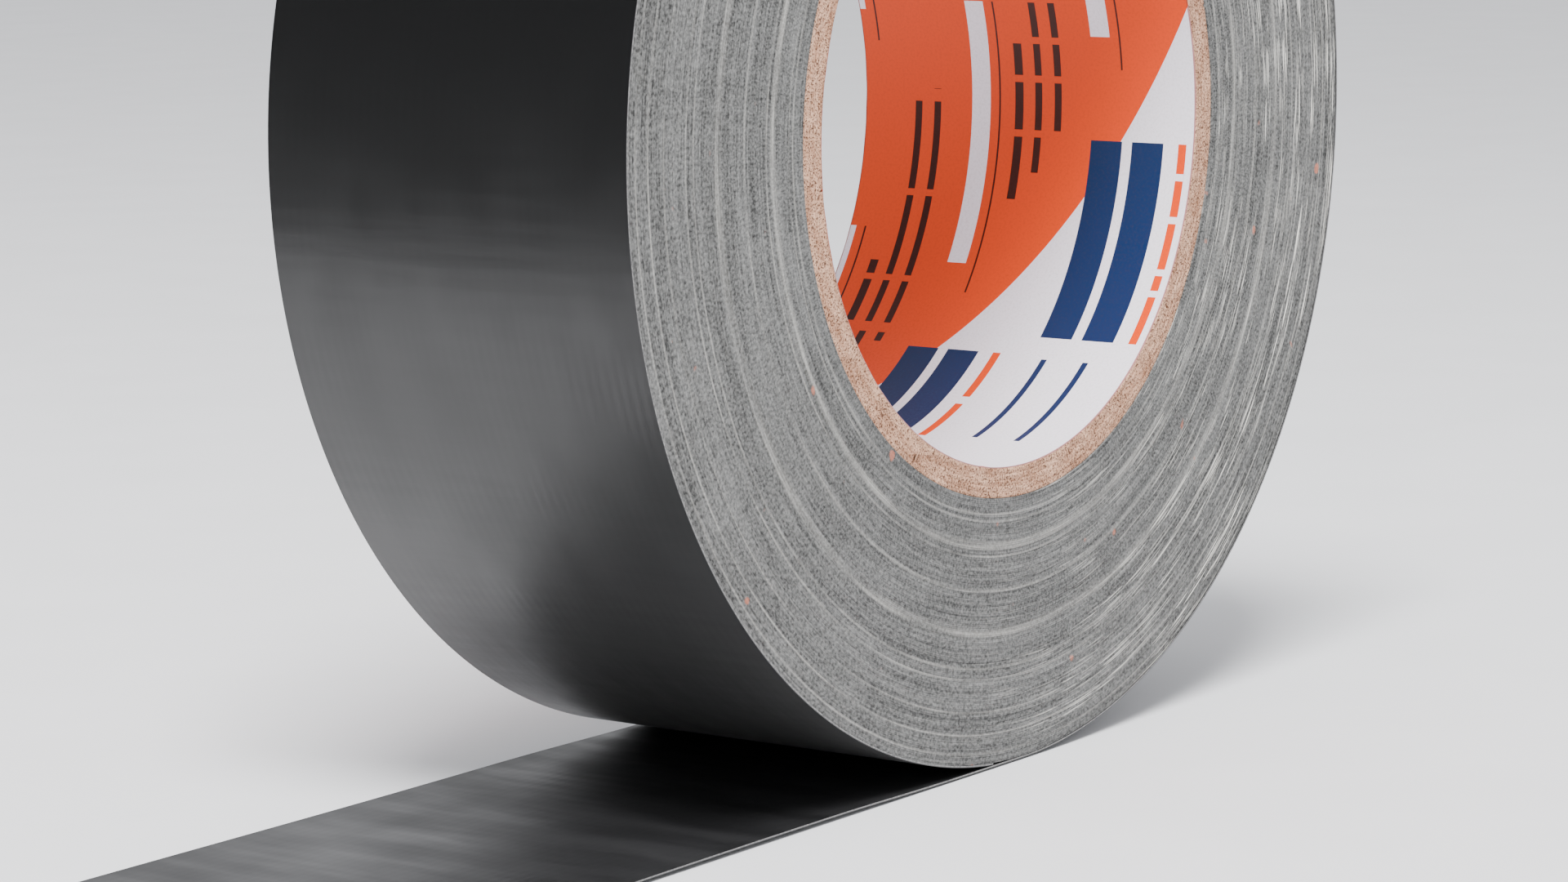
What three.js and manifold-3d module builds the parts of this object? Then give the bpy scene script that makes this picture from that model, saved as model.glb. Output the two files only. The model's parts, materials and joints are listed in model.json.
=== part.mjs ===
// A roll of cloth-backed duct tape with a length of tape laid out from it.
// Millimetres, +Z up. The roll's axis lies along Y and the laid tape runs along -X.
// The origin is on the floor under the roll's axis, in the flat underside of the laid tape.

import * as THREE from 'three';
import { mergeVertices } from 'three/addons/utils/BufferGeometryUtils.js';
import Module from 'manifold-3d';

const wasm = await Module();
wasm.setup();

// Driving dimensions of the roll.
const tapeWidth = 48;
const rollDiameter = 145;
const coreOutsideDiameter = 84;
const coreBoreDiameter = 77;

// The tape is a laminate: film on the outside of the roll, cloth, then adhesive.
const filmThickness = 0.08;
const clothThickness = 0.05;
const adhesiveThickness = 0.09;

// The laid tape, measured from the line where it leaves the roll.
const laidLength = 180;
const freeEndLength = 40;
const tongueLength = 15;

// The core: a printed liner inside spiral-wound board plies.
const plyCount = 5;
const linerThickness = 0.12;
const coreRecess = 0.1;
const seamLead = 102;
const seamGap = 0.5;
const seamStagger = 137.5;

// Clearances.
const glueLine = 0.02;
const spinClearance = 0.06;
const dipClearance = 0.05;

// How finely the round pieces are faceted.
const facetCount = 96;
const seamSteps = 8;
const seamOvershoot = 1;
const weldDistance = 0.0001;

const tapeThickness = filmThickness + clothThickness + adhesiveThickness;
const rollRadius = rollDiameter / 2;
const facetAngle = (2 * Math.PI) / facetCount;
const vertexStretch = 1 / Math.cos(facetAngle / 2);
const liftHinge = -(laidLength - freeEndLength);

// Where the outermost turn dips under the tape that leaves the roll, and the last facet corner before it.
const dipHeight = tapeThickness + dipClearance;
const dipAngle = Math.acos((rollRadius - dipHeight) / (rollRadius * vertexStretch));
const lastCorner = facetCount - 0.5 - Math.ceil(dipAngle / facetAngle - 0.5);

const colours = {
  film: { color: 0x1b1b1d, roughness: 0.38, metalness: 0 },
  cloth: { color: 0x8d8a86, roughness: 0.9, metalness: 0 },
  adhesive: { color: 0x57544f, roughness: 0.55, metalness: 0 },
  turns: { color: 0x9d9d9e, roughness: 0.7, metalness: 0 },
  board: { color: 0xbfa588, roughness: 0.95, metalness: 0 },
  print: { color: 0xe8e6ea, roughness: 0.5, metalness: 0 },
};

// One named mesh with a material of its own.
function piece(name, geometry, finish) {
  const mesh = new THREE.Mesh(geometry, new THREE.MeshStandardMaterial(finish));
  mesh.name = name;
  return mesh;
}

// The radius of a facet's corners, where its flat lies at the given distance from the axis.
function cornerRadius(flatRadius) {
  return flatRadius * vertexStretch;
}

// A ring about the roll's axis, centred on the origin. One flat faces straight down.
function ringGeometry(innerFlat, outerFlat, width) {
  const inner = cornerRadius(innerFlat);
  const outer = cornerRadius(outerFlat);
  const half = width / 2;
  const profile = [
    new THREE.Vector2(inner, -half),
    new THREE.Vector2(outer, -half),
    new THREE.Vector2(outer, half),
    new THREE.Vector2(inner, half),
    new THREE.Vector2(inner, -half),
  ];
  return new THREE.LatheGeometry(profile, facetCount, facetAngle / 2);
}

// An outline in the X-Z plane, drawn out to the tape's width on both sides of Y = 0.
function acrossTape(outline) {
  const shape = new THREE.Shape(outline.map(([x, z]) => new THREE.Vector2(x, z)));
  const geometry = new THREE.ExtrudeGeometry(shape, { depth: tapeWidth, bevelEnabled: false });
  geometry.rotateX(Math.PI / 2);
  geometry.translate(0, tapeWidth / 2, 0);
  return geometry;
}

// A closed mesh as a solid that can be cut.
function solidOf(geometry) {
  const bare = geometry.clone();
  bare.deleteAttribute('normal');
  bare.deleteAttribute('uv');
  const merged = mergeVertices(bare, weldDistance);
  const vertProperties = new Float32Array(merged.attributes.position.array);
  const triVerts = new Uint32Array(merged.index.array);
  return new wasm.Manifold(new wasm.Mesh({ numProp: 3, vertProperties, triVerts }));
}

// The mesh of a cut solid.
function geometryOf(solid) {
  const mesh = solid.getMesh();
  const geometry = new THREE.BufferGeometry();
  geometry.setAttribute('position', new THREE.BufferAttribute(mesh.vertProperties, 3));
  geometry.setIndex(new THREE.BufferAttribute(mesh.triVerts, 1));
  geometry.computeVertexNormals();
  return geometry;
}

// The slit where the two edges of a spiral-wound ply meet: a thin helical wall through the ply.
function seamGeometry(innerFlat, outerFlat, startAngle) {
  const inner = innerFlat - seamOvershoot;
  const outer = cornerRadius(outerFlat) + seamOvershoot;
  const half = tapeWidth / 2 + seamOvershoot;
  const halfGapAngle = seamGap / 2 / outerFlat;
  const corners = [];
  for (let step = 0; step <= seamSteps; step += 1) {
    const y = -half + (2 * half * step) / seamSteps;
    const angle = startAngle + (2 * Math.PI * y) / seamLead;
    for (const [radius, side] of [[inner, -1], [outer, -1], [outer, 1], [inner, 1]]) {
      const turned = angle + side * halfGapAngle;
      corners.push(radius * Math.sin(turned), y, radius * Math.cos(turned));
    }
  }
  const faces = [0, 2, 1, 0, 3, 2];
  for (let step = 0; step < seamSteps; step += 1) {
    for (let corner = 0; corner < 4; corner += 1) {
      const here = 4 * step + corner;
      const beside = 4 * step + ((corner + 1) % 4);
      faces.push(here, beside, beside + 4, here, beside + 4, here + 4);
    }
  }
  const last = 4 * seamSteps;
  faces.push(last, last + 1, last + 2, last, last + 2, last + 3);
  const geometry = new THREE.BufferGeometry();
  geometry.setAttribute('position', new THREE.Float32BufferAttribute(corners, 3));
  geometry.setIndex(faces);
  return geometry;
}

// The core: the printed liner and the board plies, each ply with its own butt seam.
function makeCore() {
  const core = new THREE.Group();
  const width = tapeWidth - 2 * coreRecess;
  const boreFlat = coreBoreDiameter / 2;
  const firstPly = boreFlat + linerThickness;
  const plyPitch = (coreOutsideDiameter / 2 - firstPly) / plyCount;
  core.add(piece('core_liner', ringGeometry(boreFlat, firstPly - glueLine, width), colours.print));
  for (let ply = 0; ply < plyCount; ply += 1) {
    const innerFlat = firstPly + ply * plyPitch;
    const outerFlat = innerFlat + plyPitch - glueLine;
    const seamAngle = THREE.MathUtils.degToRad(seamStagger * ply);
    const ring = solidOf(ringGeometry(innerFlat, outerFlat, width));
    const seam = solidOf(seamGeometry(innerFlat, outerFlat, seamAngle));
    core.add(piece(`core_ply_${ply + 1}`, geometryOf(ring.subtract(seam)), colours.board));
  }
  return core;
}

// The turns of tape on the core, under the outermost turn.
function makeTurns() {
  const outerCorner = rollRadius - tapeThickness - spinClearance;
  const outerFlat = outerCorner / vertexStretch;
  return piece('wound_turns', ringGeometry(coreOutsideDiameter / 2, outerFlat, tapeWidth), colours.turns);
}

// One layer of the outermost turn, between two depths below the tape's outer face.
// It comes off the floor at the origin, climbs the +X side and goes once round the roll.
function wrapOutline(outerDepth, innerDepth) {
  const outward = [];
  const inward = [];
  for (let corner = 0.5; corner <= lastCorner; corner += 1) {
    const angle = corner * facetAngle;
    const outer = cornerRadius(rollRadius - outerDepth);
    const inner = cornerRadius(rollRadius - innerDepth);
    outward.push([outer * Math.sin(angle), rollRadius - outer * Math.cos(angle)]);
    inward.unshift([inner * Math.sin(angle), rollRadius - inner * Math.cos(angle)]);
  }
  return [[-tongueLength, outerDepth], ...outward, ...inward, [-tongueLength, innerDepth]];
}

// One layer of a flat stretch of the laid tape.
function flatOutline(start, end, bottom, top) {
  return [[start, bottom], [end, bottom], [end, top], [start, top]];
}

// The same three layers in every stretch of tape: the film is lowest on the floor.
function addLayers(group, prefix, outlineBetween) {
  const layers = [
    ['film', filmThickness, colours.film],
    ['cloth', clothThickness, colours.cloth],
    ['adhesive', adhesiveThickness, colours.adhesive],
  ];
  let depth = 0;
  for (const [layer, thickness, finish] of layers) {
    const outline = outlineBetween(depth, depth + thickness);
    group.add(piece(`${prefix}_${layer}`, acrossTape(outline), finish));
    depth += thickness;
  }
}

const roll = new THREE.Group();
roll.position.z = rollRadius;
roll.add(makeCore());
roll.add(makeTurns());

const tape = new THREE.Group();
addLayers(tape, 'wrap', wrapOutline);
addLayers(tape, 'laid', (bottom, top) => flatOutline(liftHinge, -tongueLength, bottom, top));
addLayers(tape, 'free_end', (bottom, top) => flatOutline(-laidLength, liftHinge, bottom, top));

const ductTapeRoll = new THREE.Group();
ductTapeRoll.name = 'duct_tape_roll';
ductTapeRoll.add(roll);
ductTapeRoll.add(tape);

export default ductTapeRoll;
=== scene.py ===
import json
import math

import bpy
import numpy as np
from mathutils import Euler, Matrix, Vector


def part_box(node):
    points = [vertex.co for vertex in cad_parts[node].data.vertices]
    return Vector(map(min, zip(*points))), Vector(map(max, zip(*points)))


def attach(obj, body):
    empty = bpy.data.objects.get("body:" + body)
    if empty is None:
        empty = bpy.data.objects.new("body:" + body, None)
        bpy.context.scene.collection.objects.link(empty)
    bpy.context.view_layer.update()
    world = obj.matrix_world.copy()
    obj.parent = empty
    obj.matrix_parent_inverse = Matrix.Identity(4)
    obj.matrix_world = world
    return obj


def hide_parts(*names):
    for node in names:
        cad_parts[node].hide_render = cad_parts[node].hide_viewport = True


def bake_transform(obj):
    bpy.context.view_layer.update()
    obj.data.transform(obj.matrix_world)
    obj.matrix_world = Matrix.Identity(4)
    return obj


MM = 0.001

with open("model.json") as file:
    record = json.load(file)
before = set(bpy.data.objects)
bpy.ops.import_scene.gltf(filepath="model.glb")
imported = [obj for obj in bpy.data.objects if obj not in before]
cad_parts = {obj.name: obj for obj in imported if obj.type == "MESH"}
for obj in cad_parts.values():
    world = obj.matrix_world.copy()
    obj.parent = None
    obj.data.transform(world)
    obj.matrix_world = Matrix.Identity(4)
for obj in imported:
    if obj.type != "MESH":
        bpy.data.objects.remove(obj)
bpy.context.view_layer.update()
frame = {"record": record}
joints = {joint["name"]: joint for joint in frame["record"]["behaviour"]["joints"]}

# Sizes that repeat the part's own, because the frame doesn't give them.
LINER = 0.12 * MM
SEAM_LEAD = 102 * MM
SEAM_STAGGER = math.radians(137.5)
PLY_COUNT = 5
DIP_CLEARANCE = 0.05 * MM

# Sizes that the CAD frame gives. The roll's axis lies along Y.
AXIS = Vector(joints["roll_spin"]["pos_m"])
LIFT_LINE = Vector(joints["free_end_lift"]["pos_m"])
ROLL_RADIUS = AXIS.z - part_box("wrap_film")[0].z
HALF_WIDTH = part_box("wrap_film")[1].y
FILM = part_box("laid_film")[1].z
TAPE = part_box("laid_adhesive")[1].z
FREE_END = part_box("free_end_film")[0].x
CORE_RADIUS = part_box("core_ply_5")[1].x
BORE_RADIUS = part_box("core_liner")[1].x - LINER
CORE_HALF_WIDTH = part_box("core_ply_5")[1].y
TURN_COUNT = round((ROLL_RADIUS - CORE_RADIUS) / TAPE) - 1

# Sizes that only the looks have. First the cloth's threads, and how finely the meshes are cut.
WARP_PITCH = 1.25 * MM
WEFT_PITCH = 2.6 * MM
SEGMENTS = 360
PLY_SEGMENTS = 240
STRIP_STEP = 1.0 * MM
EDGE_STEPS = np.array([0.0, 0.15, 0.4, 0.8, 1.5, 2.5, 4.0, 6.0]) * MM

# The turns: how deep their edges lie on average, how far they stray, and the groove between two of them.
GLUE_GAP = 0.02 * MM
TURN_DEPTH = 0.03 * MM
TURN_DRIFT = 0.016 * MM
TURN_RIPPLE = 0.018 * MM
TURN_DEEPEST, TURN_PROUDEST = -0.09 * MM, 0.07 * MM
GROOVE_DEPTH = 0.05 * MM
INNER_DEPTH, OUTER_DEPTH = 0.4 * MM, 0.1 * MM

# The core: the plies' gaps, ends and seams, and the liner's edges.
PAPER_GAP = 0.012 * MM
PLY_SET_IN = 0.03 * MM
PLY_SOFTNESS = 0.015 * MM
PLY_FRAY = 0.035 * MM
HALF_SEAM = 0.006  # radians
LINER_SET_IN = 0.06 * MM
LINER_WAVE = 0.03 * MM

# The tape: its layers, the curl of its edges, the bend where it is lifted, and the torn end.
LAYER_GAP = 0.004 * MM
CURL_HEIGHT = 0.28 * MM
CURL_WIDTH = 4 * MM
CURL_WAVE = 19 * MM
CURL_START, CURL_GROWTH = 12 * MM, 25 * MM
TEAR_REACH = 6 * MM
TEAR_DEPTH = 1.1 * MM
# Where the laid strip and the end strip meet, clear of the bend.
SPLIT = LIFT_LINE.x + 22 * MM


# ---------------------------------------------------------------- curves and meshes

def waves(seed, count, lowest, highest):
    """A repeatable smooth function of an angle: a few sine waves with whole-number frequencies."""
    draw = np.random.RandomState(seed)
    frequency = draw.randint(lowest, highest + 1, count)
    phase = draw.uniform(0, 2 * math.pi, count)
    weight = draw.uniform(0.4, 1.0, count) / math.sqrt(count)
    return lambda angle: sum(w * np.sin(f * angle + p) for f, p, w in zip(frequency, phase, weight))


def make_mesh(name, points, faces, uv=None):
    """A smooth-shaded mesh object from points and faces. uv has one pair for each point."""
    mesh = bpy.data.meshes.new(name)
    mesh.from_pydata([tuple(p) for p in points], [], [tuple(f) for f in faces])
    mesh.validate()
    if uv is not None:
        layer = mesh.uv_layers.new(name="UVMap")
        index = np.zeros(len(mesh.loops), int)
        mesh.loops.foreach_get("vertex_index", index)
        layer.data.foreach_set("uv", np.asarray(uv, float)[index].ravel())
    mesh.polygons.foreach_set("use_smooth", [True] * len(mesh.polygons))
    mesh.update()
    item = bpy.data.objects.new(name, mesh)
    bpy.context.scene.collection.objects.link(item)
    return item


def grid_faces(rows, columns, close_rows=False, close_columns=False):
    """Quads over a grid of points stored row by row, optionally joined end to end either way."""
    faces = []
    for row in range(rows if close_rows else rows - 1):
        for column in range(columns if close_columns else columns - 1):
            a = row * columns + column
            b = row * columns + (column + 1) % columns
            c = ((row + 1) % rows) * columns + (column + 1) % columns
            d = ((row + 1) % rows) * columns + column
            faces.append((a, b, c, d))
    return faces


def sharpen(item, degrees):
    """Keeps edges steeper than the angle sharp, so flats stay flat beside round faces."""
    item.data.set_sharp_from_angle(angle=math.radians(degrees))


def around_axis(radius, angle, y):
    """The point at this radius, angle from straight down towards +X, and place along the axis."""
    return np.stack([AXIS.x + radius * np.sin(angle), y, AXIS.z - radius * np.cos(angle)], -1)


def ring(radius, angle, y):
    """around_axis for one radius and one or many places along the axis."""
    return around_axis(np.full(len(angle), radius), angle, np.broadcast_to(y, len(angle)))


def stand_for(item, nodes, body=None):
    """Says which CAD nodes the item replaces, and the body that carries it whole."""
    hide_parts(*nodes)
    if body:
        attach(item, body)


# ---------------------------------------------------------------- material nodes

class Nodes:
    """A material's node tree, with short calls for the nodes used here."""

    def __init__(self, name, **settings):
        self.material = bpy.data.materials.new(name)
        self.material.use_nodes = True
        self.tree = self.material.node_tree
        self.shader = next(n for n in self.tree.nodes if n.type == "BSDF_PRINCIPLED")
        for socket, value in settings.items():
            self.set(socket.replace("_", " "), value)

    def feed(self, socket, value):
        """Links a socket to another node's output, or gives it a plain value."""
        if isinstance(value, bpy.types.NodeSocket):
            self.tree.links.new(value, socket)
        else:
            socket.default_value = value

    def set(self, socket, value):
        self.feed(self.shader.inputs[socket], value)

    def add(self, kind, inputs=(), output=0, **settings):
        made = self.tree.nodes.new(kind)
        for key, value in settings.items():
            setattr(made, key, value)
        for key, value in dict(inputs).items():
            self.feed(made.inputs[key], value)
        return made.outputs[output]

    def math(self, operation, a, b=0.0, c=0.0):
        return self.add("ShaderNodeMath", {0: a, 1: b, 2: c}, operation=operation)

    def times(self, a, b):
        return self.math("MULTIPLY", a, b)

    def split(self, output):
        """The three parts of a texture coordinate: Object or UV."""
        parts = self.tree.nodes.new("ShaderNodeSeparateXYZ")
        self.feed(parts.inputs[0], self.add("ShaderNodeTexCoord", output=output))
        return parts.outputs["X"], parts.outputs["Y"], parts.outputs["Z"]

    def vector(self, x, y, z):
        return self.add("ShaderNodeCombineXYZ", {"X": x, "Y": y, "Z": z})

    def noise(self, vector, scale=1.0, detail=2.0):
        inputs = {"Vector": vector, "Scale": scale, "Detail": detail, "Roughness": 0.5}
        return self.add("ShaderNodeTexNoise", inputs, output="Fac")

    def cloud(self, along, across, scales, seed, detail=2.0):
        """Noise with its own scale along and across, per metre."""
        place = self.vector(self.times(along, scales[0]), self.times(across, scales[1]), seed)
        return self.noise(place, detail=detail)

    def ramp(self, value, low, high, start=0.0, end=1.0):
        """value carried from low..high to start..end, held at both ends."""
        inputs = {"Value": value, "From Min": low, "From Max": high, "To Min": start, "To Max": end}
        return self.add("ShaderNodeMapRange", inputs, clamp=True)

    def mix(self, factor, first, second):
        made = self.tree.nodes.new("ShaderNodeMix")
        made.data_type = "RGBA"
        for key, value in {0: factor, 6: first, 7: second}.items():
            self.feed(made.inputs[key], value)
        return made.outputs[2]

    def bump(self, height, distance, strength=1.0, normal=None):
        inputs = {"Height": height, "Distance": distance, "Strength": strength}
        if normal is not None:
            inputs["Normal"] = normal
        return self.add("ShaderNodeBump", inputs, output="Normal")

    def polar(self):
        """The direction from the roll's axis, as its parts towards +X and up, then the radius, the angle from
        straight down, and the place along the axis."""
        x, y, z = self.split("Object")
        height = self.math("SUBTRACT", z, AXIS.z)
        radius = self.math("SQRT", self.math("ADD", self.times(x, x), self.times(height, height)))
        angle = self.math("ARCTAN2", x, self.times(height, -1.0))
        return self.math("DIVIDE", x, radius), self.math("DIVIDE", height, radius), radius, angle, y

    def threads(self):
        """The places along and across the tape, and waves at the spacing of its warp and weft threads."""
        along, across, _ = self.split("UV")
        warp = self.math("SINE", self.times(across, 2 * math.pi / WARP_PITCH))
        weft = self.math("SINE", self.times(along, 2 * math.pi / WEFT_PITCH))
        return along, across, warp, weft


def rgb(red, green, blue):
    """A colour given in 0 to 255 display values, as the linear one that shaders use."""
    def linear(value):
        share = value / 255
        return share / 12.92 if share <= 0.04045 else ((share + 0.055) / 1.055) ** 2.4
    return (linear(red), linear(green), linear(blue), 1.0)


# ---------------------------------------------------------------- materials

# Painted highlights on turns whose edges catch more light: radius and how far the painted highlight reaches,
# in mm, and its strength.
PAINTED_HIGHLIGHT_RINGS = [
    (43.8, 0.3, 0.25), (44.6, 0.2, 0.25), (47.4, 0.7, 0.4), (48.6, 0.2, 0.3),
    (52.5, 0.3, 0.25), (57.2, 0.9, 0.2), (57.5, 0.25, 0.16), (61.3, 0.25, 0.28),
    (62.6, 0.2, 0.3), (66.3, 0.2, 0.25), (68.9, 0.2, 0.35), (71.0, 0.2, 0.3),
]


def turn_edge_material():
    """The slit edges of the turns: grey, with fine rings, painted highlights on a few of them, and cut yarn
    ends as speckle.
    """
    m = Nodes("turn_edges")
    sideways, upward, radius, _, y = m.polar()
    side = m.math("SIGN", y)

    def rings(along, across, seed, detail=1.0):
        """Noise drawn out round the roll: cells per radian along a ring, and per mm of radius."""
        place = m.vector(
            m.math("MULTIPLY_ADD", sideways, along, seed),
            m.times(upward, along),
            m.math("MULTIPLY_ADD", radius, across / MM, m.times(side, 7.0)),
        )
        return m.noise(place, detail=detail)

    fine = rings(5.0, 3.6, 3.1)
    speckle = rings(170.0, 3.2, 5.9, 2.0)
    shares = [
        (rings(2.4, 1.1, 11.7, 2.0), 0.2),
        (rings(1.2, 0.2, 23.3), 0.14),
        (speckle, 0.74),
        (rings(26.0, 0.05, 31.0, 3.0), 0.12),
    ]
    tone = m.math("MULTIPLY_ADD", m.ramp(fine, 0.3, 0.7, -0.5, 0.5), 0.38, 0.47)
    for pattern, share in shares:
        tone = m.math("MULTIPLY_ADD", m.ramp(pattern, 0.3, 0.7, -0.5, 0.5), share, tone)
    tone = m.math("MINIMUM", m.math("MAXIMUM", tone, 0.0), 1.0)
    colour = m.mix(tone, rgb(50, 50, 49), rgb(134, 134, 132))

    # Painted highlight on single turns standing proud, for a short way round, most of them near the outside,
    # and stronger towards +X.
    painted_proud_highlight = m.ramp(rings(9.0, 5.6, 61.0), 0.56, 0.64)
    painted_proud_highlight = m.times(painted_proud_highlight, m.ramp(rings(3.0, 0.5, 67.0), 0.42, 0.62))
    painted_proud_highlight = m.times(painted_proud_highlight, m.ramp(radius, 50 * MM, 70 * MM, 0.4, 1.0))
    painted_proud_highlight = m.times(painted_proud_highlight, m.ramp(sideways, -0.2, 0.8, 0.06, 1.6))
    # Painted highlight rings at the listed radii, broken up round the roll.
    painted_ring_highlight = 0.0
    for centre, reach, strength in PAINTED_HIGHLIGHT_RINGS:
        away = m.math("ABSOLUTE", m.math("SUBTRACT", radius, centre * MM))
        painted_ring_highlight = m.math("ADD", m.ramp(away, 0.0, reach * MM, strength, 0.0), painted_ring_highlight)
    painted_ring_highlight = m.times(painted_ring_highlight, m.ramp(rings(4.0, 1.6, 71.0), 0.35, 0.6, 0.25, 0.9))
    # Both painted highlights are mixed into the colour as near-white.
    colour = m.mix(m.math("MAXIMUM", m.times(painted_proud_highlight, 0.9), painted_ring_highlight), colour, rgb(222, 219, 211))
    fluff = m.ramp(m.noise(m.vector(*m.split("Object")), scale=330.0, detail=1.0), 0.74, 0.78, 0.0, 0.7)
    m.set("Base Color", m.mix(fluff, colour, rgb(196, 120, 96)))
    m.set("Roughness", m.ramp(fine, 0.3, 0.7, 0.55, 0.75))
    m.set("Specular IOR Level", 0.25)
    m.set("Normal", m.bump(m.math("ADD", fine, m.times(speckle, 0.7)), 0.16 * MM, 0.8))
    return m.material


def film_material():
    """Satin black film with the cloth's weave just showing through it."""
    m = Nodes("film", Base_Color=rgb(8, 8, 9), Roughness=0.9, Specular_IOR_Level=0.8)
    m.set("Coat Weight", 1.0)
    m.set("Coat IOR", 1.5)
    along, across, warp, weft = m.threads()
    worn = m.ramp(m.cloud(along, across, (120.0, 60.0), 0.0, 3.0), 0.35, 0.7)
    weave = m.times(m.math("MULTIPLY_ADD", warp, 0.6, weft), worn)
    pull = m.cloud(along, across, (700.0, 70.0), 4.0, 3.0)
    ripple = m.cloud(along, across, (60.0, 22.0), 9.0, 1.0)
    haze = m.cloud(along, across, (90.0, 160.0), 14.0, 3.0)
    combed = m.cloud(along, across, (80.0, 520.0), 19.0, 3.0)
    normal = m.bump(weave, 0.008 * MM, 0.7)
    normal = m.bump(pull, 0.03 * MM, 0.5, normal)
    normal = m.bump(combed, 0.016 * MM, 0.6, normal)
    normal = m.bump(ripple, 0.5 * MM, 0.5, normal)
    m.set("Normal", normal)
    m.set("Coat Normal", normal)
    m.set("Coat Roughness", m.ramp(haze, 0.3, 0.7, 0.28, 0.4))
    return m.material


def backing_material():
    """The adhesive side: cloth under a tacky coat over the black film, dark with soft streaks."""
    m = Nodes("adhesive", Specular_IOR_Level=0.6)
    along, across, warp, weft = m.threads()
    streaks = m.cloud(along, across, (170.0, 34.0), 2.0, 4.0)
    patches = m.cloud(along, across, (45.0, 60.0), 8.0)
    m.set("Base Color", m.mix(m.ramp(streaks, 0.3, 0.75), rgb(26, 26, 27), rgb(44, 44, 45)))
    dull = m.ramp(patches, 0.3, 0.7, 0.33, 0.45)
    m.set("Roughness", m.math("MULTIPLY_ADD", m.ramp(streaks, 0.35, 0.65), 0.14, dull))
    normal = m.bump(m.math("MULTIPLY_ADD", warp, 0.7, weft), 0.006 * MM, 0.5)
    normal = m.bump(streaks, 0.03 * MM, 0.5, normal)
    m.set("Normal", m.bump(patches, 0.3 * MM, 0.4, normal))
    return m.material


def cut_edge_material():
    """The slit edge of the tape's backing: grey cloth and adhesive."""
    m = Nodes("cut_edge", Roughness=0.6)
    grain = m.noise(m.vector(*m.split("Object")), scale=2500.0, detail=3.0)
    m.set("Base Color", m.mix(m.ramp(grain, 0.3, 0.7), rgb(78, 78, 79), rgb(150, 149, 147)))
    m.set("Normal", m.bump(grain, 0.03 * MM, 0.6))
    return m.material


def board_material():
    """Kraft-brown core board, fibrous where it is cut."""
    m = Nodes("core_board", Roughness=0.9, Specular_IOR_Level=0.2)
    sideways, upward, radius, _, y = m.polar()

    def grain(along, across, seed, detail=3.0):
        place = m.vector(
            m.math("MULTIPLY_ADD", sideways, along, seed),
            m.times(upward, along),
            m.times(m.math("ADD", radius, m.times(y, 0.7)), across / MM),
        )
        return m.noise(place, detail=detail)

    fibres = grain(110.0, 2.8, 1.0)
    flecks = grain(190.0, 4.6, 6.0)
    plies = grain(9.0, 0.8, 12.0, 2.0)
    tone = m.math("MULTIPLY_ADD", m.ramp(fibres, 0.3, 0.7), 0.5, m.times(m.ramp(plies, 0.3, 0.7), 0.5))
    colour = m.mix(tone, rgb(152, 106, 80), rgb(232, 188, 158))
    m.set("Base Color", m.mix(m.ramp(flecks, 0.5, 0.62, 0.0, 0.9), colour, rgb(70, 42, 30)))
    m.set("Normal", m.bump(m.math("MULTIPLY_ADD", flecks, 0.6, fibres), 0.2 * MM, 0.8))
    return m.material


# The print repeats in rows that climb round the bore: each row is this far along and across from the last.
ROW_ARC, ROW_STEP = 28.9 * MM, 17.6 * MM
# Where the orange field begins, across the slant of the rows.
FIELD_START = 17.2 * MM
WHITE, ORANGE = rgb(232, 231, 238), rgb(218, 66, 2)
NAVY, INK = rgb(14, 40, 80), rgb(60, 26, 18)
# Plain bars of the lowest row: start and length round the bore, lower and upper edge across it, in mm, the
# ink, and whether the bar is broken into dashes.
BARS_ON_WHITE = [
    (29.4, 26.0, -13.8, -9.4, NAVY, False), (29.4, 26.0, -19.6, -15.2, NAVY, False),
    (9.0, 17.0, -12.0, -11.2, NAVY, False), (9.0, 17.0, -17.8, -17.0, NAVY, False),
    (29.4, 26.0, -22.8, -21.7, ORANGE, True),
]
BARS_ON_ORANGE = [
    (68.0, 33.0, -12.3, -9.6, WHITE, False), (64.0, 37.0, -13.8, -13.55, INK, False),
    (76.6, 20.0, -17.1, -15.9, INK, True), (80.0, 38.0, -19.8, -18.8, INK, True),
    (84.7, 34.0, -22.6, -21.6, INK, True),
]


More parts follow.
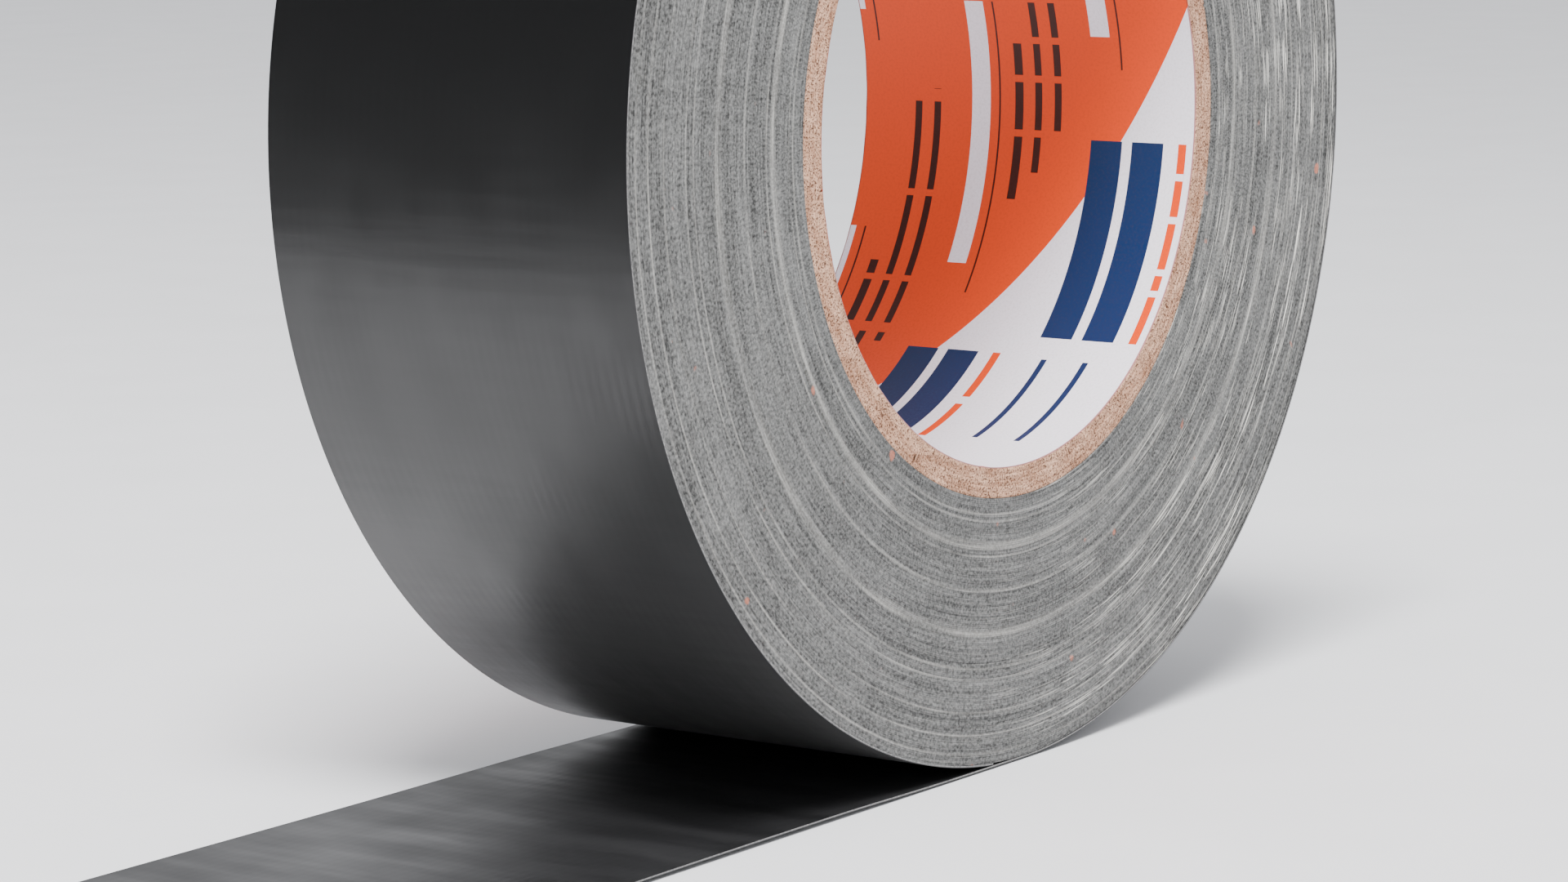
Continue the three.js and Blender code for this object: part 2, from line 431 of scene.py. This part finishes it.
def liner_material():
    """Printed paper: an orange and a white field that spiral round the bore, with plain bars and rules."""
    m = Nodes("liner_print", Specular_IOR_Level=0.28)
    _, _, _, angle, y = m.polar()
    slant = math.atan2(ROW_STEP, ROW_ARC)
    circumference = 2 * math.pi * BORE_RADIUS
    arc = m.times(angle, BORE_RADIUS)
    over = m.math("MULTIPLY_ADD", arc, math.sin(slant), m.times(y, math.cos(slant)))
    band = circumference * math.sin(slant)
    shift = m.math("WRAP", m.math("SUBTRACT", over, FIELD_START), band, 0.0)
    colour = m.mix(m.math("LESS_THAN", shift, band / 2), WHITE, ORANGE)

    row = m.math("FLOOR", m.math("DIVIDE", m.math("ADD", y, HALF_WIDTH), ROW_STEP))
    low_y = m.math("SUBTRACT", y, m.times(row, ROW_STEP))
    place = m.math("MULTIPLY_ADD", row, ROW_ARC, arc)
    place = m.math("WRAP", place, circumference * 0.75, -circumference / 4)
    gaps = m.noise(m.vector(m.times(place, 420.0), m.times(row, 9.0), 0.0), detail=0.0)
    gaps = m.math("GREATER_THAN", gaps, 0.4)
    # Each bar comes again a quarter of the way round, further along its own field.
    quarter = circumference / 4 / MM
    again = [(start - quarter, *rest) for start, *rest in BARS_ON_WHITE]
    again += [(start + quarter, *rest) for start, *rest in BARS_ON_ORANGE]
    for start, length, low, high, ink, broken in BARS_ON_WHITE + BARS_ON_ORANGE + again:
        inside = m.math("COMPARE", place, (start + length / 2) * MM, length / 2 * MM)
        inside = m.times(inside, m.math("COMPARE", low_y, (low + high) / 2 * MM, (high - low) / 2 * MM))
        colour = m.mix(m.times(inside, gaps) if broken else inside, colour, ink)
    grain = m.cloud(arc, y, (3000.0, 3000.0), 0.0)
    colour = m.mix(m.ramp(grain, 0.45, 0.8, 0.0, 0.16), colour, rgb(90, 70, 64))
    # The cut edge of the paper, stained by the print.
    rim = m.math("GREATER_THAN", m.math("ABSOLUTE", y), CORE_HALF_WIDTH - 0.2 * MM)
    m.set("Base Color", m.mix(m.times(rim, 0.8), colour, rgb(150, 60, 40)))
    m.set("Roughness", m.ramp(grain, 0.3, 0.7, 0.46, 0.62))
    m.set("Normal", m.bump(m.cloud(arc, y, (500.0, 900.0), 3.0, 3.0), 0.02 * MM, 0.5))
    return m.material


# ---------------------------------------------------------------- the roll

def make_turns(edge):
    """The wound turns: on both sides each turn's edge stands a little proud or shy of its neighbours."""
    pitch = (ROLL_RADIUS - TAPE - CORE_RADIUS) / TURN_COUNT
    first = CORE_RADIUS + GLUE_GAP
    last = CORE_RADIUS + TURN_COUNT * pitch
    draw = np.random.RandomState(7)
    angle = np.linspace(0, 2 * math.pi, SEGMENTS, endpoint=False)
    rows = []
    for side in (-1, 1):
        face = [ring(first, angle, side * (HALF_WIDTH - INNER_DEPTH))]
        drift = 0.0
        for turn in range(TURN_COUNT):
            drift = 0.82 * drift + draw.normal(0, TURN_DRIFT)
            ripple = waves(100 + turn * 2 + (side > 0), 4, 1, 9)(angle) * TURN_RIPPLE
            proud = np.clip(drift + ripple, TURN_DEEPEST, TURN_PROUDEST)
            # A groove at the start of the turn, then its flat edge.
            for share, depth in ((0.08, GROOVE_DEPTH), (0.34, 0.0), (0.74, 0.0)):
                y = side * (HALF_WIDTH - TURN_DEPTH - depth + proud)
                face.append(ring(first + (turn + share) * pitch, angle, y))
        face.append(ring(last, angle, side * (HALF_WIDTH - OUTER_DEPTH)))
        rows.extend(face if side < 0 else face[::-1])
    faces = grid_faces(len(rows), SEGMENTS, close_rows=True, close_columns=True)
    item = make_mesh("turns", np.concatenate(rows), faces)
    item.data.materials.append(edge)
    stand_for(item, ["wound_turns"], "roll")


def make_ply(index, board):
    """One board ply, wound on a long helix so that its two edges meet in a slanting butt seam."""
    pitch = (CORE_RADIUS - BORE_RADIUS - LINER) / PLY_COUNT
    inner = BORE_RADIUS + LINER + index * pitch
    outer = inner + pitch - PAPER_GAP
    draw = np.random.RandomState(40 + index)
    set_in = draw.uniform(0.0, PLY_SET_IN, 2)
    soft = PLY_SOFTNESS
    low, high = -CORE_HALF_WIDTH + set_in[0], CORE_HALF_WIDTH - set_in[1]
    across = np.linspace(low + soft, high - soft, 49)
    profile = [(inner + soft, low), (outer - soft, low)] + [(outer, y) for y in across]
    profile += [(outer - soft, high), (inner + soft, high)] + [(inner, y) for y in across[::-1]]
    turn = np.linspace(HALF_SEAM, 2 * math.pi - HALF_SEAM, PLY_SEGMENTS)
    fray = {}
    for side, end in enumerate((low, high)):
        fray[end] = waves(60 + index * 2 + side, 9, 20, 160)(turn) * PLY_FRAY
    rows = []
    for radius, y in profile:
        angle = SEAM_STAGGER * index + 2 * math.pi * y / SEAM_LEAD + turn
        rows.append(ring(radius, angle, y + fray.get(y, 0.0)))
    count = len(profile)
    faces = grid_faces(count, PLY_SEGMENTS, close_rows=True)
    faces.append([row * PLY_SEGMENTS for row in range(count)])
    faces.append([row * PLY_SEGMENTS + PLY_SEGMENTS - 1 for row in range(count)][::-1])
    item = make_mesh(f"ply_{index + 1}", np.concatenate(rows), faces)
    sharpen(item, 50)
    item.data.materials.append(board)
    stand_for(item, [f"core_ply_{index + 1}"], "roll")


def make_liner(paper):
    """The printed paper inside the core, with its two cut edges a little wavy."""
    angle = np.linspace(0, 2 * math.pi, SEGMENTS, endpoint=False)
    half = CORE_HALF_WIDTH - LINER_SET_IN
    across = np.linspace(-half, half, 13)
    outer = BORE_RADIUS + LINER - PAPER_GAP
    profile = [(BORE_RADIUS, y) for y in across] + [(outer, y) for y in across[::-1]]
    wavy = {end: waves(80 + side, 7, 3, 60)(angle) * LINER_WAVE for side, end in enumerate((-half, half))}
    rows = [ring(radius, angle, y + wavy.get(y, 0.0)) for radius, y in profile]
    item = make_mesh("liner", np.concatenate(rows), grid_faces(len(rows), SEGMENTS, True, True))
    sharpen(item, 50)
    item.data.materials.append(paper)
    stand_for(item, ["core_liner"], "roll")


# ---------------------------------------------------------------- the tape

def tape_layer(name, stretch, across, depths, lift, finishes):
    """A closed thin layer swept along a stretch of tape, between two depths under the tape's outer face.
    lift(travel, y) is how far the tape stands off its path, and finishes are for its faces and its rims."""
    path, normals, travel = stretch
    rows = []
    uv = []
    for depth in depths:
        for y in across:
            offset = (depth + lift(travel, y))[:, None] * normals
            line = path + offset
            rows.append(np.stack([line[:, 0], np.full(len(path), y), line[:, 1]], -1))
            uv.append(np.stack([travel, np.full(len(path), y)], -1))
    columns, width = len(path), len(across)
    shift = width * columns
    sheet = grid_faces(width, columns)
    faces = [face[::-1] for face in sheet]
    faces += [tuple(corner + shift for corner in face) for face in sheet]
    first_rim = len(faces)
    for row in (0, width - 1):
        for a in range(row * columns, row * columns + columns - 1):
            quad = (a, a + 1, a + 1 + shift, a + shift)
            faces.append(quad if row == 0 else quad[::-1])
    for column in (0, columns - 1):
        for a in range(column, column + (width - 1) * columns, columns):
            quad = (a, a + shift, a + columns + shift, a + columns)
            faces.append(quad if column == 0 else quad[::-1])
    item = make_mesh(name, np.concatenate(rows), faces, np.concatenate(uv))
    sharpen(item, 40)
    for finish in finishes:
        item.data.materials.append(finish)
    index = np.zeros(len(faces), np.int32)
    index[first_rim:] = 1
    item.data.polygons.foreach_set("material_index", index)
    return item


def wrap_path():
    """The outermost turn, from the floor under the axis and once round: points, inward normals and travel."""
    end = 2 * math.pi - math.acos(1 - (TAPE + DIP_CLEARANCE) / ROLL_RADIUS)
    angle = np.linspace(0, end, SEGMENTS + 1)
    path = np.stack([AXIS.x + ROLL_RADIUS * np.sin(angle), AXIS.z - ROLL_RADIUS * np.cos(angle)], -1)
    normals = np.stack([-np.sin(angle), np.cos(angle)], -1)
    return path, normals, ROLL_RADIUS * angle


def flat_path(start, end):
    """A flat stretch on the floor, as points, upward normals and travel."""
    count = round(abs(end - start) / STRIP_STEP) + 1
    x = np.linspace(start, end, count)
    return np.stack([x, np.zeros(count)], -1), np.tile([0.0, 1.0], (count, 1)), x


def across_tape(margin, count):
    """Places across the tape: close together near its two edges, and evenly between the margins."""
    middle = np.linspace(-HALF_WIDTH + margin, HALF_WIDTH - margin, count)
    return np.concatenate([-HALF_WIDTH + EDGE_STEPS, middle, HALF_WIDTH - EDGE_STEPS[::-1]])


def edge_lift(travel, y):
    """How the laid tape stands off the floor: its edges curl a little, more in some places than in others."""
    near_edge = np.clip((abs(y) - (HALF_WIDTH - CURL_WIDTH)) / CURL_WIDTH, 0, 1) ** 2
    along = 0.7 + 0.3 * np.sin(travel / CURL_WAVE + (1.3 if y > 0 else 4.1))
    settled = np.clip((-travel - CURL_START) / CURL_GROWTH, 0, 1)
    return CURL_HEIGHT * near_edge * along * settled * settled * (3 - 2 * settled)


def no_lift(travel, y):
    """For tape that lies on its path all over."""
    return np.zeros(len(travel))


def tear(item, seed):
    """Makes the free end of a flat strip ragged, as tape is when it is torn across by hand."""
    places = np.zeros(3 * len(item.data.vertices))
    item.data.vertices.foreach_get("co", places)
    places = places.reshape(-1, 3)
    turn = places[:, 1] / HALF_WIDTH * math.pi
    depth = (np.abs(waves(90, 5, 1, 7)(turn)) + 0.35 * np.abs(waves(seed, 6, 14, 38)(turn))) * TEAR_DEPTH
    places[:, 0] += depth * np.clip(1 - (places[:, 0] - FREE_END) / TEAR_REACH, 0, 1)
    item.data.vertices.foreach_set("co", places.ravel())
    item.data.update()


def make_tape(film, backing, edge):
    """The outermost turn, the laid stretch and the free end, each as film and backing."""
    across = across_tape(9 * MM, 13)
    across_end = across_tape(6.6 * MM, 59)
    layers = [
        ("film", (0.0, FILM), (film, film), "film", ["film"]),
        ("backing", (FILM + LAYER_GAP, TAPE), (backing, edge), "adhesive", ["cloth", "adhesive"]),
    ]
    for label, depths, finishes, slot, parts in layers:
        turn = tape_layer(f"turn_{label}", wrap_path(), across, depths, no_lift, finishes)
        stand_for(turn, [f"wrap_{part}" for part in parts], "payoff")

        laid = tape_layer(f"laid_{label}_strip", flat_path(SPLIT, 0.0), across, depths, edge_lift, finishes)
        stand_for(laid, [f"laid_{part}" for part in parts])
        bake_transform(laid)

        stretch = flat_path(FREE_END, SPLIT)
        end = tape_layer(f"end_{label}_strip", stretch, across_end, depths, edge_lift, finishes)
        tear(end, 91 + (label == "film"))
        stand_for(end, [f"free_end_{part}" for part in parts])
        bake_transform(end)


# ---------------------------------------------------------------- camera and studio

CAMERA_PLACE = AXIS + Vector((-446.07, -313.59, 44.1)) * MM
CAMERA_TURN = [math.radians(degrees) for degrees in (-54.096, 8.518, -0.673)]
LENS, SENSOR = 108.52, 36
FLOOR_REACH = 20
FLOOR_DROP = 0.2 * MM
CARD_PLACE = -0.225
CARD_REACH = 1.5
# The surround's strength falls from the first of each pair to the second, as its direction rises.
DIM_FROM, DIM_TO = 0.08, 0.5
STRENGTH_LOW, STRENGTH_HIGH = 1.4, 1.05
KEY_PLACE, KEY_TARGET = Vector((-0.46, -0.3, 1.05)), Vector((0, 0, 0.05))
KEY_SIZE, KEY_POWER = 0.45, 30.0


def link(name, data):
    item = bpy.data.objects.new(name, data)
    bpy.context.scene.collection.objects.link(item)
    return item


def make_camera():
    """The camera: off the roll's -X, -Y side, a little above its axis, with a long lens."""
    data = bpy.data.cameras.new("camera")
    data.lens = LENS
    data.sensor_width = SENSOR
    data.clip_start = 0.01
    camera = link("camera", data)
    azimuth, elevation, roll = CAMERA_TURN
    level = math.cos(elevation)
    back = Vector((math.sin(azimuth) * level, -math.cos(azimuth) * level, math.sin(elevation)))
    camera.location = CAMERA_PLACE
    turn = (-back).to_track_quat("-Z", "Y").to_matrix()
    camera.rotation_euler = (turn @ Euler((0, 0, roll)).to_matrix()).to_euler()
    bpy.context.scene.camera = camera


def make_floor():
    """A plain pale floor."""
    r = FLOOR_REACH
    floor = make_mesh("floor", [(-r, -r, 0), (r, -r, 0), (r, r, 0), (-r, r, 0)], [(0, 1, 2, 3)])
    floor.location.z = -FLOOR_DROP
    m = Nodes("floor", Roughness=0.8, Specular_IOR_Level=0.2)
    mottle = m.noise(m.vector(*m.split("Object")), scale=40.0, detail=2.0)
    m.set("Base Color", m.mix(m.ramp(mottle, 0.3, 0.7), rgb(228, 228, 230), rgb(231, 231, 233)))
    floor.data.materials.append(m.material)


def make_card():
    """A dark card beside the roll that only reflections see: it keeps the top of the tread black."""
    r = CARD_REACH
    card = make_mesh("card", [(0, -r, 0), (0, r, 0), (0, r, r), (0, -r, r)], [(0, 1, 2, 3)])
    card.location.x = CARD_PLACE
    for ray in ("camera", "diffuse", "shadow", "transmission", "volume_scatter"):
        setattr(card, f"visible_{ray}", False)
    dark = Nodes("card", Roughness=1.0, Specular_IOR_Level=0.0, Base_Color=rgb(3, 3, 3))
    card.data.materials.append(dark.material)


def make_surround():
    """A pale surround that is a little dimmer overhead."""
    world = bpy.data.worlds.new("studio")
    world.use_nodes = True
    tree = world.node_tree
    background = tree.nodes["Background"]
    background.inputs["Color"].default_value = (0.93, 0.94, 0.97, 1)
    place = tree.nodes.new("ShaderNodeTexCoord")
    split = tree.nodes.new("ShaderNodeSeparateXYZ")
    fade = tree.nodes.new("ShaderNodeMapRange")
    ends = {"From Min": DIM_FROM, "From Max": DIM_TO, "To Min": STRENGTH_LOW, "To Max": STRENGTH_HIGH}
    for socket, value in ends.items():
        fade.inputs[socket].default_value = value
    tree.links.new(place.outputs["Generated"], split.inputs[0])
    tree.links.new(split.outputs["Z"], fade.inputs["Value"])
    tree.links.new(fade.outputs["Result"], background.inputs["Strength"])
    bpy.context.scene.world = world


def make_key():
    """One square soft light overhead that reflections don't see."""
    data = bpy.data.lights.new("key", "AREA")
    data.shape = "SQUARE"
    data.size = KEY_SIZE
    data.energy = KEY_POWER
    key = link("key", data)
    key.location = KEY_PLACE
    key.rotation_euler = (KEY_TARGET - KEY_PLACE).to_track_quat("-Z", "Y").to_euler()
    key.visible_glossy = False


make_turns(turn_edge_material())
board = board_material()
for index in range(PLY_COUNT):
    make_ply(index, board)
make_liner(liner_material())
make_tape(film_material(), backing_material(), cut_edge_material())
make_camera()
make_floor()
make_card()
make_surround()
make_key()
